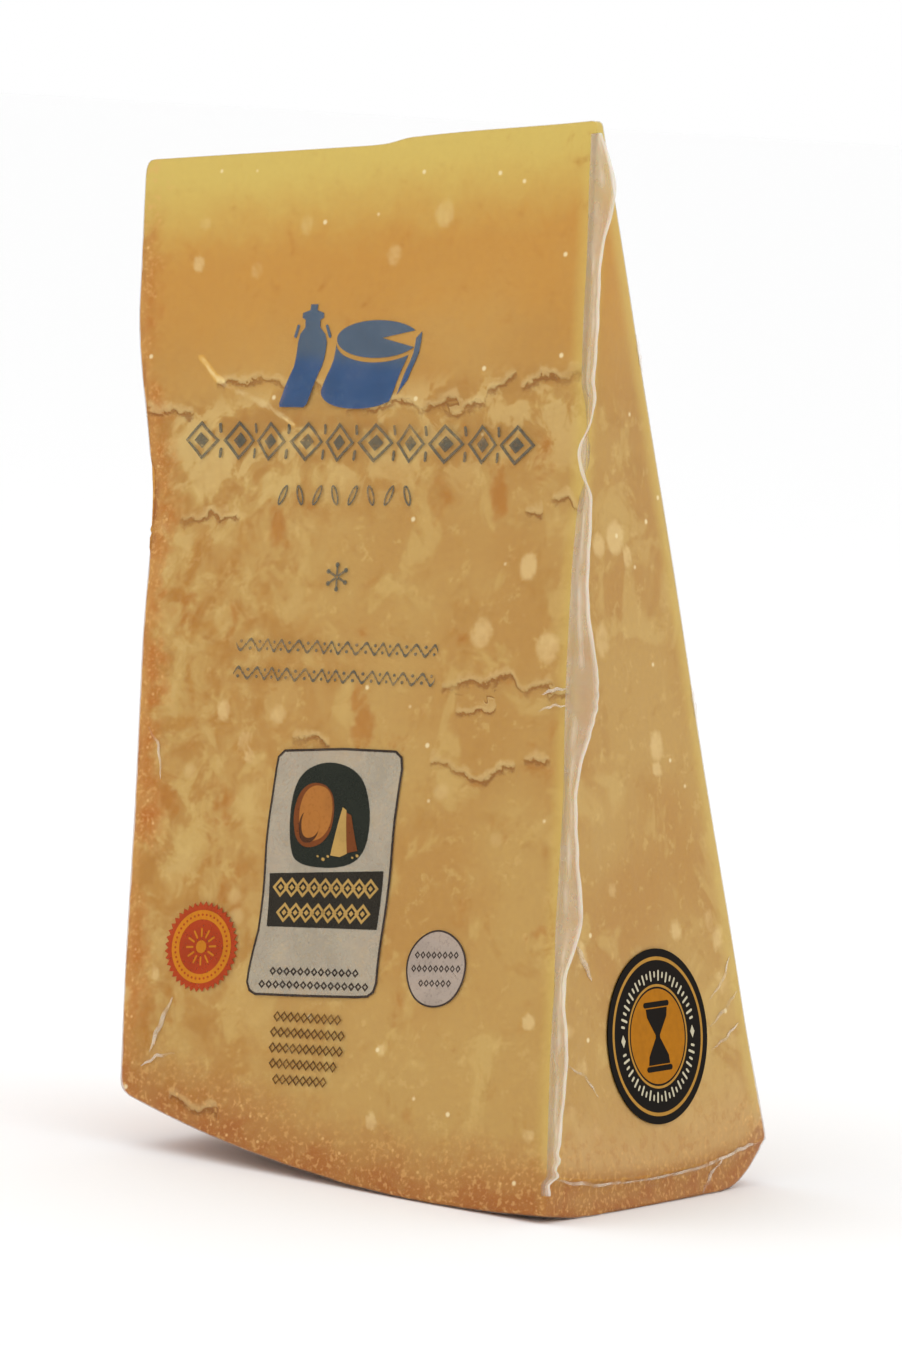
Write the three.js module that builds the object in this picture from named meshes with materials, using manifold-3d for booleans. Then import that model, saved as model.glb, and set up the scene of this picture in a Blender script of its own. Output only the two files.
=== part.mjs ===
// A wedge of hard aged cheese, vacuum packed in clear film and standing on its rind.
// Millimetres, +Z up. The origin lies on the table, under the middle of the pack's box.
// The printed cut face looks toward -Y and the labelled cut face toward +X.

import * as THREE from 'three';
import { mergeVertices } from 'three/addons/utils/BufferGeometryUtils.js';
import Module from 'manifold-3d';

const { degToRad, lerp, smoothstep } = THREE.MathUtils;

// The wheel that the wedge was cut from: its axis runs along X and passes through the wedge's tip
const WHEEL_RADIUS = 220;
const LABELLED_FACE = 53.3; // the cut across the wheel, halfway up its side
const RIND_FACE = -56; // the wheel's flat face, which is rind
const HALF_ANGLE = degToRad(10.3); // each long cut face, from the wedge's middle plane
const LEAN = degToRad(8); // the rounded rind leans the wedge toward its rind face
const TABLE_DEPTH = 208.9; // the table, straight below the tip

// The rind
const TAPER = 0.0355; // the wheel's side falls away from the labelled face, at first gently
const BELLY = 0.00176; // and then with the square of the distance
const RIND_CORNER = 2.5;
const FAR_BEVEL = 5.5; // the rind's far edge is worn off at the labelled face
const BEVEL_START = 0.62; // from this share of the way to the far face
const BAND_HEIGHT = 7; // on the labelled face the rind sits back behind the paste
const BAND_INSET = 1.3;
const FAR_LIP = 1.2; // the paste's far corner stands out above the rind

// The tip
const TIP_HALF = 0.5; // the tip is cut blunt: half its width
const TIP_DIP = 2.3; // it dips from the rind face to the middle
const TIP_STEP = 0.8; // and stands a little higher just past it
const TIP_CORNER = 2;
const TIP_FLARE = 5.6; // the rind face stands out near the tip
const FLARE_END = 75;

// The cut faces' relief
const LEDGE_DEPTH = 60; // the paste of the printed face broke here as it was cut
const LEDGE_SINK = 1.2;
const WAVE = 0.4; // slow waves of the long faces
const BULGE = 0.4; // and of the labelled one

// The film drawn tight round the wedge
const EDGE_RADIUS = 1.2;

// The film's welded seam, a thin fin along the edge between the printed and the labelled face.
// Each fold is: distance from the tip, width of the fin, and its turn from straight out along +X
const SEAM_FOLDS = [
  [5, 1.2, 10],
  [16, 4.6, 14],
  [30, 2.6, 0],
  [46, 2.4, 5],
  [61, 2.3, -25],
  [70, 3.0, -88],
  [79, 2.5, -12],
  [99, 3.0, 10],
  [119, 5.7, 18],
  [137, 2.7, -10],
  [150, 3.2, 5],
  [164, 4.3, 14],
  [174, 2.2, -14],
  [188, 2.8, 6],
  [205, 2.0, 0],
  [216, 1.8, -20],
];
const SEAM_ROOT = 1.6; // how deep the fin starts inside the pack
const SEAM_THICKNESS = 0.7;
const SEAM_BEAD = 1.1; // the rolled outer edge
const SEAM_STEPS = 72;

// The round label on the labelled face
const LABEL_DIAMETER = 35;
const LABEL_THICKNESS = 0.3;
const LABEL_GAP = 0.3;
const LABEL_SIDE = 1.8;
const LABEL_DEPTH = 184.9;
const LABEL_SIDES = 72;

const wasm = await Module();
wasm.setup();

// A closed geometry as a solid that can be joined and cut
function toSolid(geometry) {
  const bare = geometry.clone();
  bare.deleteAttribute('normal');
  bare.deleteAttribute('uv');
  const merged = mergeVertices(bare, 1e-4);
  const vertProperties = new Float32Array(merged.attributes.position.array);
  const triVerts = new Uint32Array(merged.index.array);
  return new wasm.Manifold(new wasm.Mesh({ numProp: 3, vertProperties, triVerts }));
}

function toGeometry(solid) {
  const { vertProperties, triVerts } = solid.getMesh();
  const geometry = new THREE.BufferGeometry();
  geometry.setAttribute('position', new THREE.BufferAttribute(vertProperties, 3));
  geometry.setIndex(new THREE.BufferAttribute(triVerts, 1));
  geometry.computeVertexNormals();
  return geometry;
}

// A point of the wedge: x along the wheel's axis, r from the tip, and side from -1 on the printed
// face to 1 on the far one
function wedgePoint(x, r, side) {
  const angle = side * HALF_ANGLE;
  return new THREE.Vector3(x, r * Math.sin(angle) + side * TIP_HALF, -r * Math.cos(angle));
}

// How far a rounded corner falls away, at a distance from the corner's end
function cornerDrop(distance, radius) {
  const inside = Math.max(radius - distance, 0);
  return radius - Math.sqrt(radius * radius - inside * inside);
}

function rindRadius(x, side) {
  const away = LABELLED_FACE - x;
  const corner = cornerDrop(x - RIND_FACE, RIND_CORNER);
  const pastStart = Math.max((side - BEVEL_START) / (1 - BEVEL_START), 0);
  const bevel = FAR_BEVEL * pastStart ** 2 * smoothstep(x, 0, 45);
  return WHEEL_RADIUS - TAPER * away - BELLY * away ** 2 - corner - bevel;
}

function tipRadius(x) {
  const dip = TIP_DIP * Math.min((x - RIND_FACE) / -RIND_FACE, 1);
  const step = TIP_STEP * smoothstep(x, 3, 10) * (1 - smoothstep(x, 15, LABELLED_FACE));
  return dip - step + cornerDrop(x - RIND_FACE, TIP_CORNER);
}

function rindFace(r) {
  return RIND_FACE - TIP_FLARE * (1 - smoothstep(r, 30, FLARE_END));
}

// The labelled face is flat down to the rind, whose band sits back under a small groove
function labelledFace(r, side) {
  const band = smoothstep(r, WHEEL_RADIUS - BAND_HEIGHT - 1, WHEEL_RADIUS - BAND_HEIGHT + 0.8);
  const bulge = BULGE * Math.sin(r / 34) * Math.cos(side * 1.5);
  return LABELLED_FACE + bulge - BAND_INSET * band;
}

// How far the printed face sinks behind its plane: a ledge, and a slow wave all over
function printedSink(x, r) {
  const pastLedge = r - LEDGE_DEPTH - 4 * Math.sin(x / 17) + 0.06 * x;
  const ledge = LEDGE_SINK * smoothstep(pastLedge, -2, 3) * (1 - smoothstep(pastLedge, 8, 40));
  const wave = WAVE * (1 + Math.sin(x / 13 + r / 31) * Math.sin(r / 17 - x / 37));
  return (ledge + wave) * smoothstep(r, 8, 40);
}

// How far the far face stands out: a slow wave, and the lip above the rind
function farRise(x, r) {
  const wave = WAVE * Math.sin(x / 19 - r / 23) * Math.sin(r / 29 + x / 31) * smoothstep(r, 8, 40);
  const band = WHEEL_RADIUS - BAND_HEIGHT;
  const lip = smoothstep(r, band - 28, band) * (1 - smoothstep(r, band, band + 3));
  return wave + FAR_LIP * lip * smoothstep(x, 10, 50);
}

// Distances along one side of a box: fine steps at both ends and even ones between
function stations(length, startSteps, evenSteps, endSteps) {
  const sum = (steps) => steps.reduce((total, step) => total + step, 0);
  const even = (length - sum(startSteps) - sum(endSteps)) / evenSteps;
  const steps = [...startSteps, ...Array(evenSteps).fill(even), ...endSteps];
  return steps.reduce((places, step) => [...places, places.at(-1) + step], [-length / 2]);
}

// A box with its stations where they are wanted and its edges rounded
function roundedBox(places, radius) {
  const steps = places.map((list) => list.length - 1);
  const half = new THREE.Vector3(...places.map((list) => list.at(-1)));
  const core = half.clone().subScalar(radius);
  const box = new THREE.BoxGeometry(...steps, ...steps);
  const position = box.attributes.position;
  const point = new THREE.Vector3();
  for (let i = 0; i < position.count; i++) {
    point.fromBufferAttribute(position, i);
    point.fromArray(point.toArray().map((at, axis) => places[axis][Math.round(at + steps[axis] / 2)]));
    const middle = point.clone().clamp(core.clone().negate(), core);
    point.sub(middle).setLength(radius).add(middle);
    position.setXYZ(i, ...point.divide(half));
  }
  return box;
}

// The box bent to the wedge: its length becomes the way from the tip to the rind
function wedgeGeometry() {
  const across = stations(LABELLED_FACE - RIND_FACE, [0.3, 0.9], 24, [0.9, 0.3]);
  const deep = stations(2 * WHEEL_RADIUS * Math.sin(HALF_ANGLE), [0.3, 0.9], 10, [0.9, 0.3]);
  const roundTheBand = [0.3, 0.9, 1.6, 1.6, 1.2, 0.9, 0.9, 1.5, 3];
  const upright = stations(WHEEL_RADIUS, roundTheBand, 36, [2, 0.9, 0.3]);
  const geometry = roundedBox([across, deep, upright], EDGE_RADIUS);
  const position = geometry.attributes.position;
  for (let i = 0; i < position.count; i++) {
    const right = (position.getX(i) + 1) / 2;
    const side = position.getY(i);
    const down = (1 - position.getZ(i)) / 2;
    const plainX = lerp(RIND_FACE, LABELLED_FACE, right);
    const r = lerp(tipRadius(plainX), rindRadius(plainX, side), down);
    const x = lerp(rindFace(r), labelledFace(r, side), right);
    const near = smoothstep(-side, 0.9, 1) * printedSink(x, r);
    const far = smoothstep(side, 0.9, 1) * farRise(x, r);
    const point = wedgePoint(x, r, side);
    position.setXYZ(i, point.x, point.y + near + far, point.z);
  }
  return geometry;
}

// The seam's fin: one closed skin over eight-sided sections, flat with a rolled outer edge
function seamGeometry() {
  const folds = new THREE.CatmullRomCurve3(SEAM_FOLDS.map((fold) => new THREE.Vector3(...fold)));
  const thin = SEAM_THICKNESS / 2;
  const bead = SEAM_BEAD / 2;
  const points = [];
  for (let i = 0; i <= SEAM_STEPS; i++) {
    const { x: r, y: width, z: turn } = folds.getPoint(i / SEAM_STEPS);
    const root = wedgePoint(labelledFace(r, -1), r, -1);
    const out = new THREE.Vector3(Math.cos(degToRad(turn)), Math.sin(degToRad(turn)), 0);
    const up = new THREE.Vector3(-out.y, out.x, 0);
    const half = [
      [-SEAM_ROOT, thin],
      [width - 2 * bead, thin],
      [width - bead, bead],
      [width, thin],
    ];
    const section = [...half.map(([a, b]) => [a, -b]), ...half.reverse()];
    for (const [along, aside] of section) {
      points.push(root.clone().addScaledVector(out, along).addScaledVector(up, aside));
    }
  }
  const sides = 8;
  const index = [];
  for (let i = 0; i < SEAM_STEPS; i++) {
    for (let j = 0; j < sides; j++) {
      const a = i * sides + j;
      const b = i * sides + ((j + 1) % sides);
      index.push(a, a + sides, b, b, a + sides, b + sides);
    }
  }
  const last = SEAM_STEPS * sides;
  for (let j = 1; j < sides - 1; j++) {
    index.push(0, j, j + 1, last, last + j + 1, last + j);
  }
  const geometry = new THREE.BufferGeometry().setFromPoints(points);
  geometry.setIndex(index);
  return geometry;
}

// What lies below the table, seen from the leaning wedge
function belowTable() {
  const size = 2 * WHEEL_RADIUS;
  const slab = new THREE.BoxGeometry(size, size, size);
  slab.translate(0, 0, -TABLE_DEPTH - size / 2);
  return slab.rotateY(LEAN);
}

function makePack() {
  const film = toSolid(wedgeGeometry()).add(toSolid(seamGeometry()));
  const standing = film.subtract(toSolid(belowTable()));
  const material = new THREE.MeshStandardMaterial({ color: 0xd9ad5f, roughness: 0.25, metalness: 0 });
  const pack = new THREE.Mesh(toGeometry(standing), material);
  pack.name = 'sealed_pack';
  return pack;
}

function makeLabel() {
  const radius = LABEL_DIAMETER / 2;
  const disc = new THREE.CylinderGeometry(radius, radius, LABEL_THICKNESS, LABEL_SIDES);
  const material = new THREE.MeshStandardMaterial({ color: 0x1c1a18, roughness: 0.35, metalness: 0 });
  const label = new THREE.Mesh(disc, material);
  label.name = 'round_label';
  label.position.set(LABELLED_FACE + LABEL_GAP + LABEL_THICKNESS / 2, LABEL_SIDE, -LABEL_DEPTH);
  label.rotation.z = -Math.PI / 2;
  return label;
}

const wedge = new THREE.Group();
wedge.add(makePack(), makeLabel());
wedge.rotation.y = -LEAN;

const part = new THREE.Group();
part.add(wedge);
const box = new THREE.Box3().setFromObject(part, true);
const middle = box.getCenter(new THREE.Vector3());
wedge.position.set(-middle.x, -middle.y, -box.min.z);

export default part;
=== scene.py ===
import math

import bmesh
import bpy
import numpy as np
from mathutils import Matrix, Vector, noise


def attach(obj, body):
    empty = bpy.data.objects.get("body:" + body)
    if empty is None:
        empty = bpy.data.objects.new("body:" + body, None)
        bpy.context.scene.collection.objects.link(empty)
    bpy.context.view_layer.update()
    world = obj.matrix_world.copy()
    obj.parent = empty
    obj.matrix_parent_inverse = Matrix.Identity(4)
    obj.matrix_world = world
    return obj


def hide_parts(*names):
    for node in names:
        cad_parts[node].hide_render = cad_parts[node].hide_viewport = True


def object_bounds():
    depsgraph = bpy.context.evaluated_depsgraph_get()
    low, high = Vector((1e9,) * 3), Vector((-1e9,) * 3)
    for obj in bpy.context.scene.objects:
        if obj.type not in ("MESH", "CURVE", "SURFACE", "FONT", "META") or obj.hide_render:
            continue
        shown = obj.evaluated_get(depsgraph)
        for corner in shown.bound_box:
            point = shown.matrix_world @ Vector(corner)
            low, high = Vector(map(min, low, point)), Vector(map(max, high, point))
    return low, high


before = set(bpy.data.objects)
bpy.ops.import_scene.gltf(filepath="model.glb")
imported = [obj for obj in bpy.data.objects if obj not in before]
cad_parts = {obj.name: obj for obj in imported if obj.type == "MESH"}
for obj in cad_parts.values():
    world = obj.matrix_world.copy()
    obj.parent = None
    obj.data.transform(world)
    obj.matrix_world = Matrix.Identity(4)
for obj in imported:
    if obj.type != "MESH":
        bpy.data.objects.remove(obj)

cad_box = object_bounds()
MM = 0.001

# The camera stands a little above the table, off the wedge's long printed side, and is held
# slightly askew. A light tent: even white all round, one soft box above and one to the side.
scene = bpy.context.scene
CAMERA_FROM = Vector((0.778687, -1.066728, 0.220009))
CAMERA_AIM = Vector((0.008451, 0.006068, 0.100073))
CAMERA_TILT = math.radians(3.18)
PICTURE_HEIGHT = 1346
FOCAL_PIXELS = 6500
bpy.ops.object.camera_add(location=CAMERA_FROM)
camera = bpy.context.object
look = (CAMERA_AIM - CAMERA_FROM).to_track_quat("-Z", "Y").to_matrix()
camera.rotation_euler = (look @ Matrix.Rotation(CAMERA_TILT, 3, "Z")).to_euler()
camera.data.sensor_width = 36
camera.data.lens = 36 * FOCAL_PIXELS / PICTURE_HEIGHT
scene.camera = camera

scene.view_settings.view_transform = "Standard"
world = bpy.data.worlds.new("light_tent")
world.use_nodes = True
world.node_tree.nodes["Background"].inputs["Color"].default_value = (1, 1, 1, 1)
world.node_tree.nodes["Background"].inputs["Strength"].default_value = 1.0
scene.world = world


def soft_box(name, place, size, power):
    bpy.ops.object.light_add(type="AREA", location=place)
    lamp = bpy.context.object
    lamp.name = name
    lamp.data.shape = "SQUARE"
    lamp.data.size = size
    lamp.data.energy = power
    toward = Vector((0, 0, 0.1)) - Vector(place)
    lamp.rotation_euler = toward.to_track_quat("-Z", "Y").to_euler()


soft_box("overhead_box", (-0.5, -0.7, 1.3), 1.0, 3.2)
soft_box("side_box", (1.5, -0.1, 0.9), 0.9, 1.8)


def srgb(red, green, blue):
    """A screen colour, 0 to 255, as linear light."""
    def linear(level):
        level /= 255
        return level / 12.92 if level <= 0.04045 else ((level + 0.055) / 1.055) ** 2.4
    return (linear(red), linear(green), linear(blue), 1)


def new_material(name):
    material = bpy.data.materials.new(name)
    material.use_nodes = True
    material.node_tree.nodes.clear()
    return material


def node(tree, kind, inputs=None, **settings):
    made = tree.nodes.new("ShaderNode" + kind)
    for key, value in settings.items():
        setattr(made, key, value)
    for key, value in (inputs or {}).items():
        if isinstance(value, bpy.types.NodeSocket):
            tree.links.new(value, made.inputs[key])
        else:
            made.inputs[key].default_value = value
    return made


def work_out(tree, operation, first, second=0.0, clamp=False):
    made = node(tree, "Math", {0: first, 1: second}, operation=operation, use_clamp=clamp)
    return made.outputs[0]


def fade(tree, value, start, end, low=0.0, high=1.0):
    """Low at start, high at end, and smooth between."""
    inputs = {"Value": value, "From Min": start, "From Max": end, "To Min": low, "To Max": high}
    return node(tree, "MapRange", inputs, interpolation_type="SMOOTHSTEP").outputs[0]


def blend(tree, share, under, over, how="MIX"):
    made = node(tree, "Mix", {0: share, 6: under, 7: over}, data_type="RGBA", blend_type=how)
    return made.outputs[2]


def measured(tree, name):
    return node(tree, "Attribute", attribute_name=name).outputs["Fac"]


# The table: matt white paper, far wider than the picture, so that the pack's soft shadow falls on
# it and no edge of it shows.
bpy.ops.object.select_all(action="DESELECT")
bpy.ops.mesh.primitive_plane_add(size=60)
table = bpy.context.object
table.name = "table"
paper = new_material("white_table")
tree = paper.node_tree
where = node(tree, "TexCoord").outputs["Object"]
speck = node(tree, "TexNoise", {"Vector": where, "Scale": 900.0, "Detail": 2.0}).outputs["Fac"]
tone = blend(tree, speck, (0.975, 0.975, 0.975, 1), (0.995, 0.995, 0.995, 1))
finish = node(tree, "BsdfPrincipled", {"Base Color": tone, "Roughness": 0.8})
node(tree, "OutputMaterial", {"Surface": finish.outputs[0]})
table.data.materials.append(paper)

# The cheese: a wedge of hard paste cut from a wheel, broken more than sliced, with waxy golden
# rind on its foot and on its left end. It is shaped from a block with rounded edges.
WHEEL_RADIUS = 220
LABELLED_FACE = 53.3
RIND_FACE = -56
HALF_ANGLE = math.radians(10.3)
LEAN = math.radians(8)
TIP_PLACE = (-11.532654, 0.154909, 208.9)
BLOCK = np.array([LABELLED_FACE - RIND_FACE, 2 * WHEEL_RADIUS * math.sin(HALF_ANGLE), WHEEL_RADIUS])
EDGE_RADIUS = 1.2
FILM_GAP = 0.15


def rise(value, start, end):
    """0 at start, 1 at end, and smooth between."""
    share = np.clip((value - start) / (end - start), 0, 1)
    return share * share * (3 - 2 * share)


def corner_drop(distance, radius):
    """How far a rounded corner falls below the flat, at some distance from the end."""
    inside = np.clip(radius - distance, 0, radius)
    return radius - np.sqrt(radius**2 - inside**2)


def rind_radius(x, side):
    """How far from the tip the bulging side of the wheel is."""
    away = LABELLED_FACE - x
    bevel = 5.5 * np.maximum((side - 0.62) / 0.38, 0) ** 2 * rise(x, 0, 45)
    bulge = 0.0355 * away + 0.00176 * away**2
    return WHEEL_RADIUS - bulge - corner_drop(x - RIND_FACE, 2.5) - bevel


def tip_radius(x):
    """Where the cut-off tip begins, with its shallow dip and small step."""
    dip = 2.3 * np.minimum((x - RIND_FACE) / -RIND_FACE, 1)
    step = 0.8 * rise(x, 3, 10) * (1 - rise(x, 15, LABELLED_FACE))
    return dip - step + corner_drop(x - RIND_FACE, 2)


def labelled_face(r, side):
    """The face with the round label: a slight bulge, and the groove above the rind."""
    bulge = 0.4 * np.sin(r / 34) * np.cos(side * 1.5)
    return LABELLED_FACE + bulge - 1.3 * rise(r, WHEEL_RADIUS - 8, WHEEL_RADIUS - 6.2)


def printed_sink(x, r):
    """How far the printed face lies behind the flat cut: a broad ledge and slow waves."""
    past = r - 60 - 4 * np.sin(x / 17) + 0.06 * x
    ledge = 1.2 * rise(past, -2, 3) * (1 - rise(past, 8, 40))
    wave = 0.4 * (1 + np.sin(x / 13 + r / 31) * np.sin(r / 17 - x / 37))
    return (ledge + wave) * rise(r, 8, 40)


def far_rise(x, r):
    """How far the hidden face stands off the flat cut: slow waves and a lip above the rind."""
    wave = 0.4 * np.sin(x / 19 - r / 23) * np.sin(r / 29 + x / 31) * rise(r, 8, 40)
    band = WHEEL_RADIUS - 7
    lip = rise(r, band - 28, band) * (1 - rise(r, band, band + 3))
    return wave + 1.2 * lip * rise(x, 10, 50)


def left_end(r):
    """The rind face on the left, which stands further out near the tip."""
    return RIND_FACE - 5.6 * (1 - rise(r, 30, 75))


def wedge_point(x, r, side):
    """Across the wheel, down from the tip, and -1 on the printed face to 1 on the far one."""
    y = r * np.sin(side * HALF_ANGLE) + side * 0.5
    sunk = rise(-side, 0.9, 1) * printed_sink(x, r) + rise(side, 0.9, 1) * far_rise(x, r)
    return np.stack([x, y + sunk, -r * np.cos(side * HALF_ANGLE)], 1)


def stand(points):
    """From the wedge's own frame, in millimetres, to where it stands on the table, in metres."""
    x, y, z = points.T
    turned = [x * math.cos(LEAN) - z * math.sin(LEAN), y, x * math.sin(LEAN) + z * math.cos(LEAN)]
    placed = np.stack(turned, 1) + TIP_PLACE
    placed[:, 0] = np.maximum(placed[:, 0], cad_box[0][0] / MM + 0.01)
    placed[:, 2] = np.maximum(placed[:, 2], 0)
    return placed * MM


def vertices(piece, what="co"):
    values = np.empty(len(piece.data.vertices) * 3)
    piece.data.vertices.foreach_get(what, values)
    return values.reshape(-1, 3)


def set_vertices(piece, points):
    piece.data.vertices.foreach_set("co", np.asarray(points, float).ravel())
    piece.data.update()


def cut_evenly(piece, axis, *rounds):
    """Cuts the long edges along an axis into so many parts, and in the next round each of these."""
    shortest = 10 * MM
    for parts in rounds:
        mesh = bmesh.from_edit_mesh(piece.data)
        bpy.ops.mesh.select_all(action="DESELECT")
        for edge in mesh.edges:
            way = edge.verts[1].co - edge.verts[0].co
            edge.select = abs(way[axis]) > 0.9 * way.length and way.length > shortest
        mesh.select_flush_mode()
        bmesh.update_edit_mesh(piece.data)
        bpy.ops.mesh.subdivide(number_cuts=parts - 1)
        shortest = 1 * MM


def wedge_block(name, cells):
    """A block with rounded edges, cut evenly along each side and bent to the wedge."""
    bpy.ops.object.select_all(action="DESELECT")
    bpy.ops.mesh.primitive_cube_add(size=1, scale=BLOCK * MM)
    piece = bpy.context.object
    piece.name = name
    bpy.ops.object.transform_apply(scale=True)
    bpy.ops.object.mode_set(mode="EDIT")
    bpy.ops.mesh.select_mode(type="EDGE")
    bpy.ops.mesh.select_all(action="SELECT")
    bpy.ops.mesh.bevel(offset=EDGE_RADIUS * MM, segments=3, affect="EDGES")
    for axis, rounds in enumerate(cells):
        cut_evenly(piece, axis, *rounds)
    bpy.ops.object.mode_set(mode="OBJECT")
    right, side, down = (vertices(piece) / (BLOCK / 2 * MM)).T
    right = (right + 1) / 2
    down = (1 - down) / 2
    plain_x = RIND_FACE + right * (LABELLED_FACE - RIND_FACE)
    r = tip_radius(plain_x) + down * (rind_radius(plain_x, side) - tip_radius(plain_x))
    x = left_end(r) + right * (labelled_face(r, side) - left_end(r))
    set_vertices(piece, stand(wedge_point(x, r, side)))
    bpy.ops.object.shade_smooth()
    return piece, x, r, side


cheese, x, r, side = wedge_block("cheese", ((55, 2), (34,), (100, 2)))

# Where the two big faces tore instead of cutting: how deep each ledge is, and the points across
# the wheel and down from the tip that it runs through. The split is a pale crack in the paste.
CRAGS = [
    (0.5, [(-57, 53), (-51, 54), (-47.5, 54.7)]),
    (0.5, [(-38.8, 48.7), (-33.5, 49.1), (-28.4, 48.9), (-20.5, 51.3), (-15.3, 51.1),
           (-8.5, 52.9)]),
    (0.7, [(-4.8, 56.7), (1.5, 56.6), (7.1, 55.2), (12.3, 57.9), (16, 57.6), (20.9, 55.6)]),
    (0.7, [(19.8, 59.1), (23.5, 58.4), (27.2, 57.3)]),
    (0.6, [(30.4, 55.3), (32.5, 53.9), (34.9, 52.5)]),
    (0.8, [(38.7, 55.1), (40.5, 54.2), (42.2, 52.3), (45.2, 52.8), (47.1, 54.1), (50.7, 52.6)]),
    (0.6, [(22.5, 114.7), (27.4, 113.9), (32.3, 114.6), (37.7, 112.8), (41.6, 116.7),
           (46.9, 114.4)]),
    (0.6, [(25.9, 119.6), (28.4, 119.9), (33.2, 119.1)]),
    (0.4, [(48.3, 117.7), (51.3, 117.6)]),
    (0.7, [(20.6, 129.2), (24.7, 131.1), (31.1, 134.3), (36.4, 132), (38.8, 131)]),
    (0.5, [(43.6, 130.2), (45.4, 129.8), (47.2, 130.8)]),
    (0.4, [(-14.5, 123.6), (-8.8, 123.8), (-7.4, 124.9)]),
    (0.7, [(46.7, 78.2), (49.1, 77.6), (51.6, 80)]),
    (0.8, [(40.1, 80.4), (41.9, 80.2)]),
    (0.3, [(-47.4, 77.2), (-40.8, 76.5), (-34.3, 77.4)]),
    (0.9, [(-41.5, 196.2), (-38.5, 197.5), (-35.8, 199), (-31.3, 199)]),
]
FAR_CRAGS = [
    (0.9, [(-46, 62), (-38, 60.6), (-30, 63), (-22, 61.5), (-12, 64)]),
    (0.7, [(-5, 66), (4, 64.2), (12, 67), (22, 65.5)]),
    (0.9, [(22, 96), (30, 93.8), (38, 95.2), (47, 92.6)]),
    (0.7, [(-42, 118), (-31, 120.5), (-24, 118.8)]),
    (0.9, [(-14, 142), (-4, 144.6), (6, 142.8), (16, 145)]),
    (0.6, [(30, 160), (38, 158.4), (45, 161)]),
    (0.8, [(-46, 178), (-38, 176.2), (-28, 179)]),
]
SPLIT = [(-44.4, 43.3), (-40.9, 47.3), (-36.7, 50.2), (-30.7, 52.7), (-25.4, 55.1), (-20, 59)]
# amber patches where the torn paste is wet with oil: x, r, half width, half height, strength
STAINS = [
    (-22.4, 80.2, 2.2, 4.0, 1.0), (-24, 75.5, 2, 4, 0.5), (-45, 96, 2.6, 4, 0.9),
    (-32.2, 98.8, 1.3, 3, 0.7), (-47, 134.9, 3, 4, 0.7), (-33.5, 137, 2, 6, 0.6),
    (2.0, 121, 2.4, 7, 1.0), (9.6, 126, 2, 3, 0.5), (32, 75, 2, 7, 1.0), (43.3, 69, 3, 5, 0.9),
    (35, 68, 2.5, 3, 0.6), (41.5, 115.4, 3, 2.5, 0.8), (34, 114, 6, 1.4, 0.6),
    (28, 119.7, 3, 1.1, 0.9), (31.1, 134.3, 2.6, 1.5, 0.7), (44.8, 131, 3, 3.5, 0.8),
    (48.7, 125, 2, 5, 0.5), (51.3, 117.6, 2, 1.5, 0.6), (-29.8, 153.8, 3, 6, 0.6),
    (-42.4, 177.6, 2.5, 5, 0.4), (-48.7, 181, 2.5, 5, 0.5), (0.6, 102.9, 2.4, 1.5, 0.5),
    (18, 79.9, 2.2, 5, 0.6), (26.3, 106, 2, 1.5, 0.5), (-39.3, 79.7, 2.5, 3, 0.5),
    (-9.6, 81.4, 1.4, 1.8, 0.6), (28.4, 161.6, 3, 3, 0.4), (14.6, 177.3, 1.6, 4, 0.4),
    (50.4, 164.9, 2.5, 3, 0.5), (-38, 197.5, 4, 1.8, 0.8), (52, 79, 2.4, 1.6, 0.7),
    (-15, 78, 2, 6, 0.35), (24, 66, 4, 5, 0.4), (5, 66, 5, 3, 0.3),
]
# soft pale ovals of packed curd crystals under the surface, measured in the same way, and on the
# labelled face from its middle line
PALE_PRINTED = [
    (-18.4, 17.6, 1.8, 2.2, 0.5), (16.5, 17.9, 2.4, 3.2, 0.6), (4, 25.4, 2, 2.4, 0.5),
    (-46.4, 23.4, 1.6, 1.8, 0.8), (-45, 15.1, 1.5, 1.5, 0.5), (-30.8, 26, 1.6, 2, 0.4),
    (40.8, 91.4, 2.2, 2.8, 0.9), (30.2, 104.2, 2.8, 3.2, 0.7), (46.8, 108, 3, 3.2, 0.7),
    (-34.2, 117.3, 1.8, 2.2, 0.8), (-19.9, 118.8, 2.4, 2.2, 0.6), (-28.3, 123.7, 2, 2.2, 0.5),
    (-26.8, 127, 1.6, 1.6, 0.6), (9, 201.6, 1.4, 1.6, 1.0), (10.9, 187.2, 1.2, 1.4, 0.7),
    (-47.5, 170.9, 1.2, 1.6, 0.6), (46.2, 182.1, 1.4, 1.6, 1.0), (47.2, 204.3, 1.6, 1.4, 0.6),
]
PALE_LABELLED = [
    (-8.6, 87.1, 2.0, 2.6, 0.8), (-3.1, 85.3, 2.8, 3.4, 0.9), (0.8, 89.3, 1.4, 2.2, 0.8),
    (-9.2, 105.9, 2.4, 3.6, 0.6), (7.6, 127.6, 2.2, 3.2, 0.8), (7.6, 132.1, 1.4, 1.6, 1.0),
    (10.9, 164.8, 2.0, 2.4, 0.7), (22.7, 164.7, 1.8, 2.4, 0.5), (25, 168.9, 1.8, 2.4, 0.7),
    (25.8, 178.1, 1.8, 2.4, 0.6), (-10.3, 155.4, 1.4, 1.6, 0.6), (-22, 168.3, 1.5, 3, 0.8),
    (-27.8, 183.6, 1.6, 1.4, 0.7), (-24.2, 190.3, 2.4, 1.8, 0.5), (-28.5, 199.2, 2, 1.6, 0.5),
    (-20.3, 202.9, 1.8, 1.4, 0.5), (28, 190, 1.6, 2, 0.4), (-12, 120, 1.6, 2, 0.3),
]


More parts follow.
